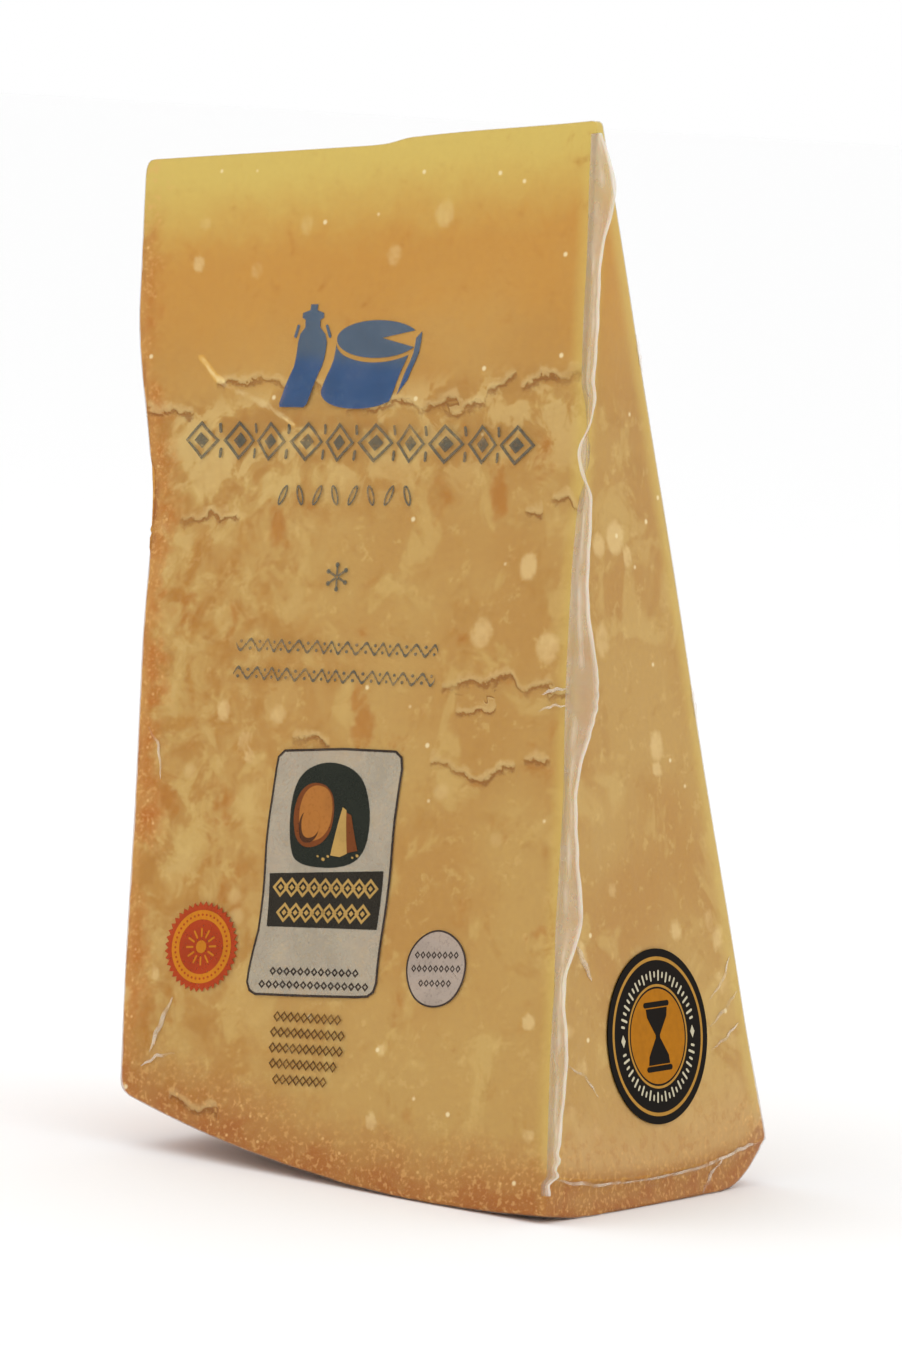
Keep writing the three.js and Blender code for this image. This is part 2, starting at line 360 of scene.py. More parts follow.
def patches(across, down, spots, edge):
    """The strongest of many soft ovals at each place."""
    total = np.zeros_like(across)
    for at, deep, half_width, half_height, strength in spots:
        reach = np.hypot((across - at) / half_width, (down - deep) / half_height)
        total = np.maximum(total, strength * (1 - rise(reach, 1 - edge, 1 + edge)))
    return total


def along_crag(across, down, run):
    """Signed distance below a run of points, and how far past its ends."""
    ends = np.array(run, float)
    line = np.interp(across, ends[:, 0], ends[:, 1])
    past = np.maximum(ends[0, 0] - across, across - ends[-1, 0])
    return down - line, np.maximum(past, 0)


def turbulence(points, size, seed):
    """Smooth noise from -1 to 1 whose waves are about so many millimetres long."""
    shift = Vector((seed * 7.3, seed * 3.1, seed * 5.7))
    return np.array([noise.noise(Vector(point) / size + shift) for point in points])


# the relief goes inward only, so that the cheese stays inside its film
local = np.stack([x, r * np.sin(side * HALF_ANGLE), r], 1)
printed = rise(-side, 0.97, 1)
labelled = rise(x, LABELLED_FACE - 3.2, LABELLED_FACE - 1.9) * (1 - rise(r, 209, 212))
wobble = 0.9 * turbulence(local, 3.5, 1) + 0.5 * turbulence(local, 1.9, 2)
sink = np.zeros_like(x)
crag_gap, crag_below, crag_past = np.full((3, len(x)), 20.0)
for face_side, depth, run in [(-1, *crag) for crag in CRAGS] + [(1, *crag) for crag in FAR_CRAGS]:
    below, past = along_crag(x, r + wobble, run)
    gap = np.where(side * face_side > 0, np.hypot(below, 1.4 * past), 20)
    crag_below = np.where(gap < crag_gap, below, crag_below)
    crag_past = np.where(gap < crag_gap, past, crag_past)
    crag_gap = np.minimum(gap, crag_gap)
    step = rise(below, -0.5, 1.0) * (1 - rise(below, 2.5, 9))
    sink += (side * face_side > 0) * depth * step * (1 - rise(past, 0, 2.5))
below, past = along_crag(x, r + 0.4 * wobble, SPLIT)
split_gap = np.where(side < 0, np.hypot(below, past), 20)
sink -= 0.35 * (1 - rise(split_gap, 0.2, 1.8))
rough = rise(turbulence(local, 26, 3), -0.15, 0.35) * rise(r, 56, 70)
grain = 0.5 + 0.5 * turbulence(local, 2.6, 4)
lumps = 0.5 + 0.5 * turbulence(local, 9, 5)
torn_face = rise(np.abs(side), 0.97, 1)
torn = torn_face * (sink + 0.35 * rough * lumps + 0.12 * grain * rise(r, 50, 60))
crust = (1 - rise(x - RIND_FACE, 6, 16)) + rise(r, 188, 206)
pitted = 0.22 * np.clip(crust, 0, 1) * grain**2
scars = labelled * patches(local[:, 1], r, PALE_LABELLED, 0.4) * 0.15
DEEPEST_TEAR = 1.4
FOOT_GAP = 0.1
carved = (np.minimum(torn, DEEPEST_TEAR) + pitted + scars) * rise(r, 3, 16)
points = vertices(cheese) - vertices(cheese, "normal") * ((FILM_GAP + carved) * MM)[:, None]
points[:, 2] = np.maximum(points[:, 2], FOOT_GAP * MM)
set_vertices(cheese, points)


def record_on(piece, name, values):
    """Keeps one number for each vertex under a name that the material reads."""
    layer = piece.data.attributes.new(name, "FLOAT", "POINT")
    layer.data.foreach_set("value", np.asarray(values, np.float32))


flat_gaps = np.stack([
    LABELLED_FACE - x,
    (1 + side) * HALF_ANGLE * r,
    (1 - side) * HALF_ANGLE * r,
])
record_on(cheese, "depth", r)
record_on(cheese, "edge_gap", np.sort(flat_gaps, 0)[1])
record_on(cheese, "end_gap", x - left_end(r))
record_on(cheese, "foot_gap", rind_radius(x, side) - r)
record_on(cheese, "crag_below", np.where(np.abs(side) > 0.9, crag_below, 20))
record_on(cheese, "crag_past", np.where(np.abs(side) > 0.9, crag_past, 20))
record_on(cheese, "crag_gap", np.where(np.abs(side) > 0.9, crag_gap, 20))
record_on(cheese, "split_gap", np.where(side < -0.9, split_gap, 20))
record_on(cheese, "stain", printed * patches(x + 1.5 * wobble, r + 1.5 * wobble, STAINS, 1.0))
record_on(cheese, "pale", printed * patches(x, r, PALE_PRINTED, 0.35)
          + labelled * patches(local[:, 1], r, PALE_LABELLED, 0.35))
record_on(cheese, "torn_face", torn_face)
record_on(cheese, "labelled", labelled)

# its material: every pattern is measured in millimetres, and is worked out from the distances and
# patches recorded above
HUES = {
    "straw": (196, 153, 83), "pale_straw": (203, 167, 99), "honey": (210, 158, 72),
    "butter": (218, 190, 122), "amber": (190, 138, 56), "dark_amber": (182, 126, 46),
    "cream": (222, 196, 132), "ochre": (188, 144, 70), "light_cream": (226, 200, 134),
    "torn_ochre": (188, 142, 72), "torn_cream": (222, 194, 132), "curd": (236, 210, 154),
    "end_orange": (197, 126, 44), "deep_orange": (192, 110, 34), "end_edge": (212, 168, 96),
    "foot_brown": (184, 126, 60), "foot_orange": (178, 108, 44), "foot_pink": (216, 182, 124),
    "pit": (196, 146, 82), "groove_shadow": (182, 120, 56), "groove_shadow_dark": (146, 88, 36),
    "rind": (176, 108, 46), "scratch": (166, 100, 42), "worn": (178, 112, 50),
    "lip": (222, 196, 112), "tip": (222, 199, 112), "oil": (184, 118, 26),
    "torn_edge": (228, 202, 146), "torn_shadow": (150, 98, 38), "split": (234, 212, 160),
    "crystal": (250, 234, 192), "soft_crystal": (230, 204, 146), "rind_speck": (242, 206, 142),
    "rind_grain": (228, 184, 118), "grain_dark": (140, 112, 76), "grain_light": (226, 206, 160),
}
paste = new_material("hard_paste")
tree = paste.node_tree
where = node(tree, "Mapping", {
    "Vector": node(tree, "TexCoord").outputs["Object"],
    "Rotation": (0, LEAN, 0), "Scale": (1 / MM, 1 / MM, 1 / MM),
}).outputs[0]
depth = measured(tree, "depth")
edge_gap = measured(tree, "edge_gap")
end_gap = measured(tree, "end_gap")
foot_gap = measured(tree, "foot_gap")
on_torn = measured(tree, "torn_face")
on_label_side = measured(tree, "labelled")


def cloud(scale_mm, detail=3.0, rough=0.55, stretch=(1, 1, 1), warp=0.0):
    """Soft noise whose patches are about so many millimetres wide."""
    place = where
    if stretch != (1, 1, 1):
        place = node(tree, "Mapping", {"Vector": where, "Scale": stretch}).outputs[0]
    inputs = {"Vector": place, "Scale": 1 / scale_mm, "Detail": detail, "Roughness": rough,
              "Distortion": warp}
    return node(tree, "TexNoise", inputs).outputs["Fac"]


def together(first, *others):
    """Masks multiplied, so that it is strong only where all of them are."""
    for other in others:
        first = work_out(tree, "MULTIPLY", first, other)
    return first


def plus(first, *others):
    for other in others:
        first = work_out(tree, "ADD", first, other)
    return first


def swing(pattern, reach):
    """A pattern turned into a shift to both sides of nothing."""
    return together(work_out(tree, "SUBTRACT", pattern, 0.5), reach)


def lay(share, strength, hue):
    """Another hue over what is there, as strong as the mask times the strength."""
    global tone
    tone = blend(tree, together(share, strength), tone, srgb(*HUES[hue]))


def crystals(scale_mm, size, chance):
    """Small round spots, one in some of the cells of a scatter."""
    inputs = {"Vector": where, "Scale": 1 / scale_mm, "Randomness": 1.0}
    cell = node(tree, "TexVoronoi", inputs, feature="F1")
    dot = fade(tree, cell.outputs["Distance"], size, size * 0.35)
    pick = node(tree, "SeparateColor", {0: cell.outputs["Color"]}).outputs[0]
    return together(dot, work_out(tree, "LESS_THAN", pick, chance))


broad = cloud(34, 1)
patch = cloud(16, 3, 0.6, warp=0.7)
middle = cloud(7, 3, 0.62, warp=0.5)
small = cloud(3.2, 3, 0.68)
fine = cloud(1.1, 1.5, 0.7)
scratch = cloud(1.8, 1.5, 0.7, (1, 1, 0.1))

# the cut paste: straw, honey near the tip, and cloudier below the torn ledge and toward the rind
tone = blend(tree, fade(tree, broad, 0.35, 0.65), srgb(*HUES["straw"]), srgb(*HUES["pale_straw"]))
lay(fade(tree, plus(depth, swing(patch, 24.0), swing(middle, 10.0)), 68, 22), 0.9, "honey")
below_tear = fade(tree, depth, 48, 60)
toward_rind = together(fade(tree, end_gap, 64, 12), below_tear, on_torn)
mottled = together(toward_rind, fade(tree, depth, 200, 140, 0.45, 1.0))
lay(together(fade(tree, patch, 0.47, 0.36), below_tear), 0.5, "butter")
lay(together(fade(tree, patch, 0.5, 0.6), mottled), 0.6, "amber")
lay(together(fade(tree, middle, 0.5, 0.64), mottled), 0.5, "dark_amber")
lay(together(fade(tree, middle, 0.5, 0.36), mottled), 0.45, "cream")
lay(together(fade(tree, middle, 0.54, 0.68), below_tear), 0.35, "ochre")
lay(together(fade(tree, small, 0.56, 0.7), fade(tree, depth, 40, 70)), 0.35, "light_cream")
torn_band = together(fade(tree, depth, 49, 56), fade(tree, depth, 84, 60), on_torn)
lay(together(torn_band, fade(tree, middle, 0.44, 0.56)), 0.55, "torn_ochre")
lay(together(torn_band, fade(tree, middle, 0.5, 0.4)), 0.6, "torn_cream")
lay(fade(tree, plus(measured(tree, "pale"), swing(small, 0.8)), 0.1, 0.85), 0.66, "curd")

# the rind on the left end and on the foot, and the paste that darkens toward it
end_edge = plus(end_gap, together(patch, 18.0), together(small, 10.0))
end_zone = fade(tree, end_edge, 22, 14)
lay(end_zone, 0.8, "end_orange")
lay(together(fade(tree, end_edge, 19, 11), fade(tree, middle, 0.42, 0.6)), 0.6, "deep_orange")
lay(fade(tree, end_gap, 3.5, 0.6), 0.5, "end_edge")
foot_edge = plus(foot_gap, together(patch, 16.0), together(small, 8.0))
foot_zone = fade(tree, foot_edge, 30, 16)
lay(foot_zone, 0.7, "foot_brown")
lay(together(fade(tree, foot_edge, 21, 13), fade(tree, middle, 0.4, 0.6)), 0.65, "foot_orange")
lay(together(fade(tree, foot_edge, 40, 20), on_label_side), 0.65, "foot_pink")
pits = together(fade(tree, foot_edge, 44, 20), on_label_side, fade(tree, small, 0.5, 0.62))
lay(pits, 0.6, "pit")
# painted shade: a darker line along the groove above the rind on the labelled face, with darker
# flecks in it
groove_shadow = together(fade(tree, foot_gap, 7.4, 6.6), on_label_side)
lay(groove_shadow, 0.75, "groove_shadow")
lay(together(groove_shadow, fade(tree, small, 0.5, 0.64)), 0.6, "groove_shadow_dark")
rind = work_out(tree, "MAXIMUM", fade(tree, foot_edge, 20, 9), fade(tree, foot_gap, 1.4, 0.5))
lay(rind, 0.5, "rind")
end_skin = fade(tree, end_gap, 1.6, 0.6)
lay(together(fade(tree, scratch, 0.5, 0.62), end_skin), 0.5, "scratch")
lay(together(fade(tree, middle, 0.46, 0.66), end_skin), 0.5, "worn")

# painted glow on the thin edges and tip, lemon yellow as if lit through the paste; the oil stains;
# and the ledges with a pale brink and a painted brown shadow
lay(together(fade(tree, edge_gap, 5, 0.8), fade(tree, foot_gap, 4, 16)), 0.7, "lip")
lay(fade(tree, plus(depth, swing(middle, 12.0)), 26, 3), 0.9, "tip")
stain = plus(measured(tree, "stain"), swing(small, 1.8), swing(middle, 1.8))
lay(together(fade(tree, stain, 0.2, 1.0), on_torn), 0.62, "oil")
jag = plus(measured(tree, "crag_below"), swing(small, 4.0))
near = together(fade(tree, measured(tree, "crag_past"), 2.6, 0.2),
                fade(tree, measured(tree, "crag_gap"), 2.4, 1.7))
kept = together(near, fade(tree, patch, 0.3, 0.5, 0.35, 1.0))
lay(together(fade(tree, jag, -2.2, -0.4), fade(tree, jag, 0.1, -0.2), kept), 0.55, "torn_edge")
lay(together(fade(tree, jag, -0.1, 0.25), fade(tree, jag, 1.3, 0.4), kept), 0.75, "torn_shadow")
split = plus(measured(tree, "split_gap"), together(small, 2.4))
lay(together(fade(tree, split, 2.2, 1.1), fade(tree, middle, 0.3, 0.5, 0.4, 1.0)), 0.6, "split")

# white crystals in the paste, and finer specks and grain in the rind
lay(crystals(8.5, 0.085, 0.7), 0.85, "crystal")
lay(together(crystals(13, 0.19, 0.32), fade(tree, depth, 60, 90)), 0.45, "soft_crystal")
rind_zone = work_out(tree, "MAXIMUM", end_zone, foot_zone)
lay(together(crystals(2.4, 0.2, 0.6), rind_zone), 0.7, "rind_speck")
lay(together(fade(tree, fine, 0.52, 0.66), rind_zone), 0.5, "rind_grain")
grain_tone = blend(tree, fine, srgb(*HUES["grain_dark"]), srgb(*HUES["grain_light"]))
tone = blend(tree, 0.3, tone, grain_tone, "SOFT_LIGHT")
step = together(fade(tree, jag, -0.5, 0.3), fade(tree, jag, 1.8, 0.5), near)
relief = work_out(tree, "SUBTRACT", together(fine, 0.25), step)
bump = node(tree, "Bump", {"Height": relief, "Strength": 0.5, "Distance": 0.0006})
finish = node(tree, "BsdfPrincipled", {
    "Base Color": tone, "Roughness": fade(tree, fine, 0.3, 0.7, 0.42, 0.6),
    "Normal": bump.outputs[0], "Specular IOR Level": 0.12,
})
node(tree, "OutputMaterial", {"Surface": finish.outputs[0]})
cheese.data.materials.append(paste)
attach(cheese, "root")
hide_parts("sealed_pack")

# The film: clear multilayer plastic, shrunk onto the cheese by vacuum, so that it follows every
# ledge and bridges the small tears.
film, *_ = wedge_block("film", ((74,), (20,), (74, 2)))


def see_through(tree, cover, skin, clear=(1, 1, 1, 1)):
    """Film that hides what is under it as strongly as its cover says."""
    through = node(tree, "BsdfTransparent", {"Color": clear})
    mixed = node(tree, "MixShader", {0: cover, 1: through.outputs[0], 2: skin.outputs[0]})
    node(tree, "OutputMaterial", {"Surface": mixed.outputs[0]})


clear = new_material("clear_film")
tree = clear.node_tree
where = node(tree, "TexCoord").outputs["Object"]
crinkle = node(tree, "TexNoise", {"Vector": where, "Scale": 90.0, "Detail": 1.0, "Distortion": 0.6})
ripple = node(tree, "Bump", {"Height": crinkle.outputs["Fac"], "Strength": 0.3, "Distance": 0.0012})
shine = node(tree, "Fresnel", {"IOR": 1.4, "Normal": ripple.outputs[0]}).outputs[0]
cover = work_out(tree, "ADD", work_out(tree, "MULTIPLY", shine, 0.6), 0.002, clamp=True)
skin = node(tree, "BsdfPrincipled", {
    "Base Color": (0.9, 0.9, 0.88, 1), "Metallic": 0.7, "Roughness": 0.16,
    "Normal": ripple.outputs[0],
})
see_through(tree, cover, skin)
film.data.materials.append(clear)
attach(film, "root")
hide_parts("sealed_pack")

# The seam: the two layers of film welded into a thin flap that stands out along the corner
# between the two cut faces, with a thicker rolled edge and a fold along its middle. It is shaped
# from a round rod that is cut into short lengths and flattened.

# how far down from the tip, how wide the flap is there, and how far it is turned, in degrees
SEAM_FOLDS = np.array([
    [5, 1.2, 10], [16, 4.6, 14], [30, 2.6, 0], [46, 2.4, 5], [61, 2.3, -25], [70, 3.0, -88],
    [79, 2.5, -12], [99, 3.0, 10], [119, 5.7, 18], [137, 2.7, -10], [150, 3.2, 5], [164, 4.3, 14],
    [174, 2.2, -14], [188, 2.8, 6], [205, 2.0, 0], [216, 1.8, -20],
], float)
SEAM_ROOT = 1.2
SEAM_HALF = 0.13
BEAD_HALF = 0.38


def through_points(at, places, values):
    """A smooth curve through the values, read at the given places."""
    slopes = np.gradient(values, places)
    index = np.clip(np.searchsorted(places, at) - 1, 0, len(places) - 2)
    span = places[index + 1] - places[index]
    t = (at - places[index]) / span
    leaving = (1 + 2 * t) * (1 - t) ** 2 * values[index] + t * (1 - t) ** 2 * span * slopes[index]
    index = index + 1
    return leaving + t * t * (3 - 2 * t) * values[index] + t * t * (t - 1) * span * slopes[index]


bpy.ops.object.select_all(action="DESELECT")
SEAM_START, SEAM_LENGTH = 5, 211
bpy.ops.mesh.primitive_cylinder_add(
    vertices=20, radius=0.5 * MM, depth=SEAM_LENGTH * MM, end_fill_type="NGON")
seam = bpy.context.object
seam.name = "seam_flap"
bpy.ops.object.mode_set(mode="EDIT")
bpy.ops.mesh.select_mode(type="EDGE")
cut_evenly(seam, 2, 100, 3)
bpy.ops.object.mode_set(mode="OBJECT")
tube = vertices(seam)
down = SEAM_START + SEAM_LENGTH / 2 - tube[:, 2] / MM
width = through_points(down, SEAM_FOLDS[:, 0], SEAM_FOLDS[:, 1])
turn = np.radians(through_points(down, SEAM_FOLDS[:, 0], SEAM_FOLDS[:, 2]))
around = np.arctan2(tube[:, 1], tube[:, 0])
share = (np.cos(around) + 1) / 2
flap = -SEAM_ROOT + share * (width + SEAM_ROOT)
from_rim = width - flap
bead_half = BEAD_HALF * (0.8 + 0.22 * np.sin(down * 0.37) + 0.14 * np.sin(down * 1.3))
bead = np.sqrt(np.maximum(bead_half**2 - (from_rim - bead_half) ** 2, 0))
fold_at = 0.3 * width + 0.35 * np.sin(down / 5.3) + 0.12 * np.sin(down / 1.7)
fold = np.exp(-((flap - fold_at) / 0.28) ** 2)
half = np.maximum(SEAM_HALF * (from_rim > 0.05), bead) + 0.16 * fold
lift = np.sign(np.sin(around)) * half * (np.abs(np.sin(around)) > 1e-6)
pucker = 0.35 * np.sin(down * 2.3) * np.exp(-((down - 120) / 6) ** 2) + 0.12 * np.sin(down * 0.9)
pucker += 0.7 * np.sin(down * 1.9) * np.exp(-((down - 211) / 4) ** 2)
lift = lift + pucker * share**2
record_on(seam, "rim", np.maximum(1 - rise(from_rim, 0.3, 0.9), 0.55 * fold))
root = wedge_point(labelled_face(down, -1), down, np.full_like(down, -1.0))
out = np.stack([np.cos(turn), np.sin(turn), np.zeros_like(turn)], 1)
up = np.stack([-out[:, 1], out[:, 0], out[:, 2]], 1)
set_vertices(seam, stand(root + out * flap[:, None] + up * lift[:, None]))
bpy.ops.object.shade_smooth()

weld = new_material("welded_film")
tree = weld.node_tree
where = node(tree, "TexCoord").outputs["Object"]
cloudy = node(tree, "TexNoise", {"Vector": where, "Scale": 140.0, "Detail": 3.0}).outputs["Fac"]
ripple = node(tree, "Bump", {"Height": cloudy, "Strength": 0.4, "Distance": 0.0008})
rim = measured(tree, "rim")
tint = blend(tree, cloudy, srgb(198, 174, 148), srgb(214, 200, 182))
tint = blend(tree, rim, tint, srgb(236, 228, 212))
cover = work_out(tree, "ADD", fade(tree, cloudy, 0.3, 0.7, 0.2, 0.34), together(rim, 0.3))
skin = node(tree, "BsdfPrincipled", {
    "Base Color": tint, "Roughness": 0.22, "Normal": ripple.outputs[0],
    "Subsurface Weight": 0.3, "Subsurface Scale": 0.001, "Specular IOR Level": 0.6,
})
see_through(tree, cover, skin, (0.97, 0.96, 0.94, 1))
seam.data.materials.append(weld)
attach(seam, "root")
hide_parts("sealed_pack")

# The film's gathers: small creases where the shrunk film had nowhere to go, beside the label, in
# the groove above the rind and at the corners. Each is a thin ridge, whiter than the flat film: the
# white is partly the folded film's own haze and partly painted glints where the folds catch the
# light.
def on_labelled_side(across, down, lift):
    side = np.clip(across / (down * HALF_ANGLE + 0.5), -1, 1)
    return np.stack([labelled_face(down, side) + lift, across, -down], 1)


def on_cut_side(across, down, lift, side):
    outward = np.array([0, side * math.cos(HALF_ANGLE), math.sin(HALF_ANGLE)])
    return wedge_point(across, down, np.full_like(across, side)) + outward * lift[:, None]


def on_printed_side(across, down, lift):
    return on_cut_side(across, down, lift, -1.0)


def on_far_side(across, down, lift):
    return on_cut_side(across, down, lift, 1.0)


# the face that each crease lies on, half its width, and the points that it runs through
CREASES = [
    (on_far_side, 0.6, [(-48, 188), (-44, 181), (-41, 172)]),
    (on_far_side, 0.4, [(-50, 192), (-43, 190), (-34, 190.6)]),
    (on_far_side, 0.5, [(50, 60), (45, 64), (41, 71)]),
    (on_far_side, 0.4, [(51, 150), (46, 152), (40, 151)]),
    (on_far_side, 0.6, [(49, 196), (45, 188), (43, 180)]),
    (on_far_side, 0.4, [(-51, 96), (-47, 99), (-44, 106)]),

    (on_labelled_side, 0.5, [(22.3, 211.4), (20.4, 213.6), (18.3, 215.8), (16.3, 217.6)]),
    (on_labelled_side, 0.45, [(31, 178.2), (27, 181.2), (20.8, 184.6)]),
    (on_labelled_side, 0.35, [(31, 184.6), (26, 187.4), (20.9, 189.2)]),
    (on_labelled_side, 0.35, [(29, 171), (26.5, 175.5), (21.4, 179)]),
    (on_labelled_side, 0.7, [(-25.4, 163.8), (-22.4, 167.8), (-19.8, 172.2)]),
    (on_labelled_side, 0.4, [(-36.5, 209.6), (-30, 211), (-21.3, 212.2), (-8, 212.9)]),
    (on_labelled_side, 0.4, [(-14, 212.6), (6.8, 213), (20, 211.7), (28.9, 210.4)]),
    (on_labelled_side, 0.4, [(24, 210.9), (30, 210), (35.6, 209.4)]),
    (on_labelled_side, 0.3, [(-30, 188), (-24, 190.6), (-20, 195)]),
    (on_labelled_side, 0.5, [(8.3, 45), (8.9, 49), (9.6, 52.5)]),
    (on_labelled_side, 0.5, [(20.9, 115.8), (21.5, 119.5), (22.4, 124)]),
    (on_printed_side, 0.6, [(-48, 187.2), (-45.6, 181.6), (-42.6, 176)]),
    (on_printed_side, 0.4, [(-50, 190), (-46, 188), (-41, 187.4)]),
    (on_printed_side, 0.4, [(46.2, 117.3), (49, 116.5), (52.4, 116.4)]),
    (on_printed_side, 0.3, [(45.4, 120.6), (49, 119.6), (52.4, 119.9)]),
    (on_printed_side, 0.35, [(-53, 120), (-50, 124), (-49, 131)]),
]
CREASE_RADIUS, CREASE_LENGTH, CREASE_HEIGHT = 0.3, 20, 0.28
ridges = []
for lay_on, half_width, path in CREASES:
    bpy.ops.object.select_all(action="DESELECT")
    bpy.ops.mesh.primitive_cylinder_add(
        vertices=8, radius=CREASE_RADIUS * MM, depth=CREASE_LENGTH * MM, end_fill_type="NGON")
    ridge = bpy.context.object
    bpy.ops.object.mode_set(mode="EDIT")
    bpy.ops.mesh.select_mode(type="EDGE")
    cut_evenly(ridge, 2, 24)
    bpy.ops.object.mode_set(mode="OBJECT")
    spot = vertices(ridge) / MM
    share = spot[:, 2] / CREASE_LENGTH + 0.5
    steps = np.linspace(0, 1, len(path))
    across = np.interp(share, steps, [point[0] for point in path])
    down = np.interp(share, steps, [point[1] for point in path])
    way = np.array(path[-1], float) - np.array(path[0], float)
    beside = np.array([-way[1], way[0]]) / np.hypot(*way)
    taper = np.sin(np.pi * np.clip(share, 0.02, 0.98)) ** 0.6
    shake = 0.18 * np.sin(share * 17 + way[0]) * taper
    offset = spot[:, 0] / CREASE_RADIUS * half_width * taper + shake
    height = 0.1 + spot[:, 1] / CREASE_RADIUS * CREASE_HEIGHT * taper * half_width / 0.5
    across, down = across + beside[0] * offset, down + beside[1] * offset
    set_vertices(ridge, stand(lay_on(across, down, height)))
    ridges.append(ridge)
for ridge in ridges:
    ridge.select_set(True)
bpy.context.view_layer.objects.active = ridges[0]
bpy.ops.object.join()
gathers = bpy.context.object
gathers.name = "film_gathers"
bpy.ops.object.shade_smooth()
# whitish colour of the creases: partly the folded film's haze, partly painted glints off the folds
gathered = new_material("gathered_film_and_glints")
tree = gathered.node_tree
where = node(tree, "TexCoord").outputs["Object"]
cloudy = node(tree, "TexNoise", {"Vector": where, "Scale": 260.0, "Detail": 3.0}).outputs["Fac"]
skin = node(tree, "BsdfPrincipled", {
    "Base Color": blend(tree, cloudy, srgb(226, 206, 178), srgb(248, 240, 226)), "Roughness": 0.2,
    "Specular IOR Level": 0.5,
})
see_through(tree, fade(tree, cloudy, 0.35, 0.65, 0.05, 0.36), skin)
gathers.data.materials.append(gathered)
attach(gathers, "root")
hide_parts("sealed_pack")

# The blue picture: a milk can beside a wheel with a piece cut out of it, in one blue ink. Like all
# the prints it is a thin skin on the outside of the film, cut from flat shapes, that follows the
# film over every ledge and is dragged a little where it slid.
PRINT_LIFT = 0.07
PRINT_LAYER = 0.02


def ink_group():
    """Ink on film: its colour a little uneven, and its cover broken by fine wear."""
    group = bpy.data.node_groups.new("ink_on_film", "ShaderNodeTree")
    group.interface.new_socket("Colour", in_out="INPUT", socket_type="NodeSocketColor")
    group.interface.new_socket("Cover", in_out="INPUT", socket_type="NodeSocketFloat")
    group.interface.new_socket("Wear", in_out="INPUT", socket_type="NodeSocketFloat")
    group.interface.new_socket("Colour", in_out="OUTPUT", socket_type="NodeSocketColor")
    group.interface.new_socket("Alpha", in_out="OUTPUT", socket_type="NodeSocketFloat")
    group.interface.new_socket("Height", in_out="OUTPUT", socket_type="NodeSocketFloat")
    given = group.nodes.new("NodeGroupInput").outputs
    where = node(group, "TexCoord").outputs["Object"]
    slow, quick = (
        node(group, "TexNoise", {"Vector": where, "Scale": scale, "Detail": 3.0}).outputs["Fac"]
        for scale in (160.0, 1400.0)
    )
    uneven = fade(group, slow, 0.3, 0.7, 0.88, 1.08)
    worn = work_out(group, "MULTIPLY", fade(group, quick, 0.5, 0.72), given["Wear"])
    thin = work_out(group, "MULTIPLY", fade(group, slow, 0.45, 0.75), given["Wear"])
    kept = work_out(group, "SUBTRACT", 1.0, work_out(group, "ADD", worn, thin), clamp=True)
    shade = node(group, "HueSaturation", {"Color": given["Colour"], "Value": uneven}).outputs[0]
    out = group.nodes.new("NodeGroupOutput").inputs
    group.links.new(shade, out["Colour"])
    group.links.new(work_out(group, "MULTIPLY", given["Cover"], kept), out["Alpha"])
    group.links.new(slow, out["Height"])
    return group


ink_effect = ink_group()


def make_ink(name, colour, cover, wear):
    ink = new_material(name)
    tree = ink.node_tree
    effect = tree.nodes.new("ShaderNodeGroup")
    effect.node_tree = ink_effect
    effect.inputs["Colour"].default_value = srgb(*colour)
    effect.inputs["Cover"].default_value = cover
    effect.inputs["Wear"].default_value = wear
    height = effect.outputs["Height"]
    ripple = node(tree, "Bump", {"Height": height, "Strength": 0.2, "Distance": 0.0006})
    finish = node(tree, "BsdfPrincipled", {
        "Base Color": effect.outputs["Colour"], "Alpha": effect.outputs["Alpha"],
        "Roughness": 0.35, "Normal": ripple.outputs[0], "Specular IOR Level": 0.15,
    })
    node(tree, "OutputMaterial", {"Surface": finish.outputs[0]})
    return ink


INKS = {
    "blue": make_ink("blue_ink", (60, 94, 134), 0.62, 0.12),
    "wheel": make_ink("wheel_ink", (176, 112, 48), 0.9, 0.15),
    "crust": make_ink("crust_ink", (122, 64, 24), 0.9, 0.15),
    "deep": make_ink("deep_ink", (76, 42, 18), 0.9, 0.1),
    "slate": make_ink("slate_ink", (98, 100, 90), 0.5, 0.4),
    "brown": make_ink("brown_ink", (98, 60, 20), 0.6, 0.3),
    "black": make_ink("black_ink", (40, 34, 24), 0.9, 0.08),
    "line": make_ink("line_ink", (48, 32, 24), 0.75, 0.15),
    "green": make_ink("dark_green_ink", (30, 34, 24), 0.9, 0.06),
    "white": make_ink("white_ink", (198, 190, 172), 0.42, 0.28),
    "cream": make_ink("cream_ink", (190, 174, 160), 0.6, 0.2),
    "gold": make_ink("gold_ink", (190, 152, 84), 0.85, 0.1),
    "red": make_ink("red_ink", (184, 66, 26), 0.7, 0.12),
    "yellow": make_ink("yellow_ink", (206, 128, 24), 0.85, 0.1),
}


def start_art(name, inks):
    """A new flat drawing, in millimetres right and up from its middle, left in edit mode."""
    bpy.ops.object.select_all(action="DESELECT")
    bpy.ops.mesh.primitive_plane_add(size=MM)
    art = bpy.context.object
    art.name = name
    for ink in inks:
        art.data.materials.append(INKS[ink] if isinstance(ink, str) else ink)
    bpy.ops.object.mode_set(mode="EDIT")
    bpy.ops.mesh.select_mode(type="FACE")
    bpy.ops.mesh.select_all(action="SELECT")
    bpy.ops.mesh.delete(type="VERT")
    return art


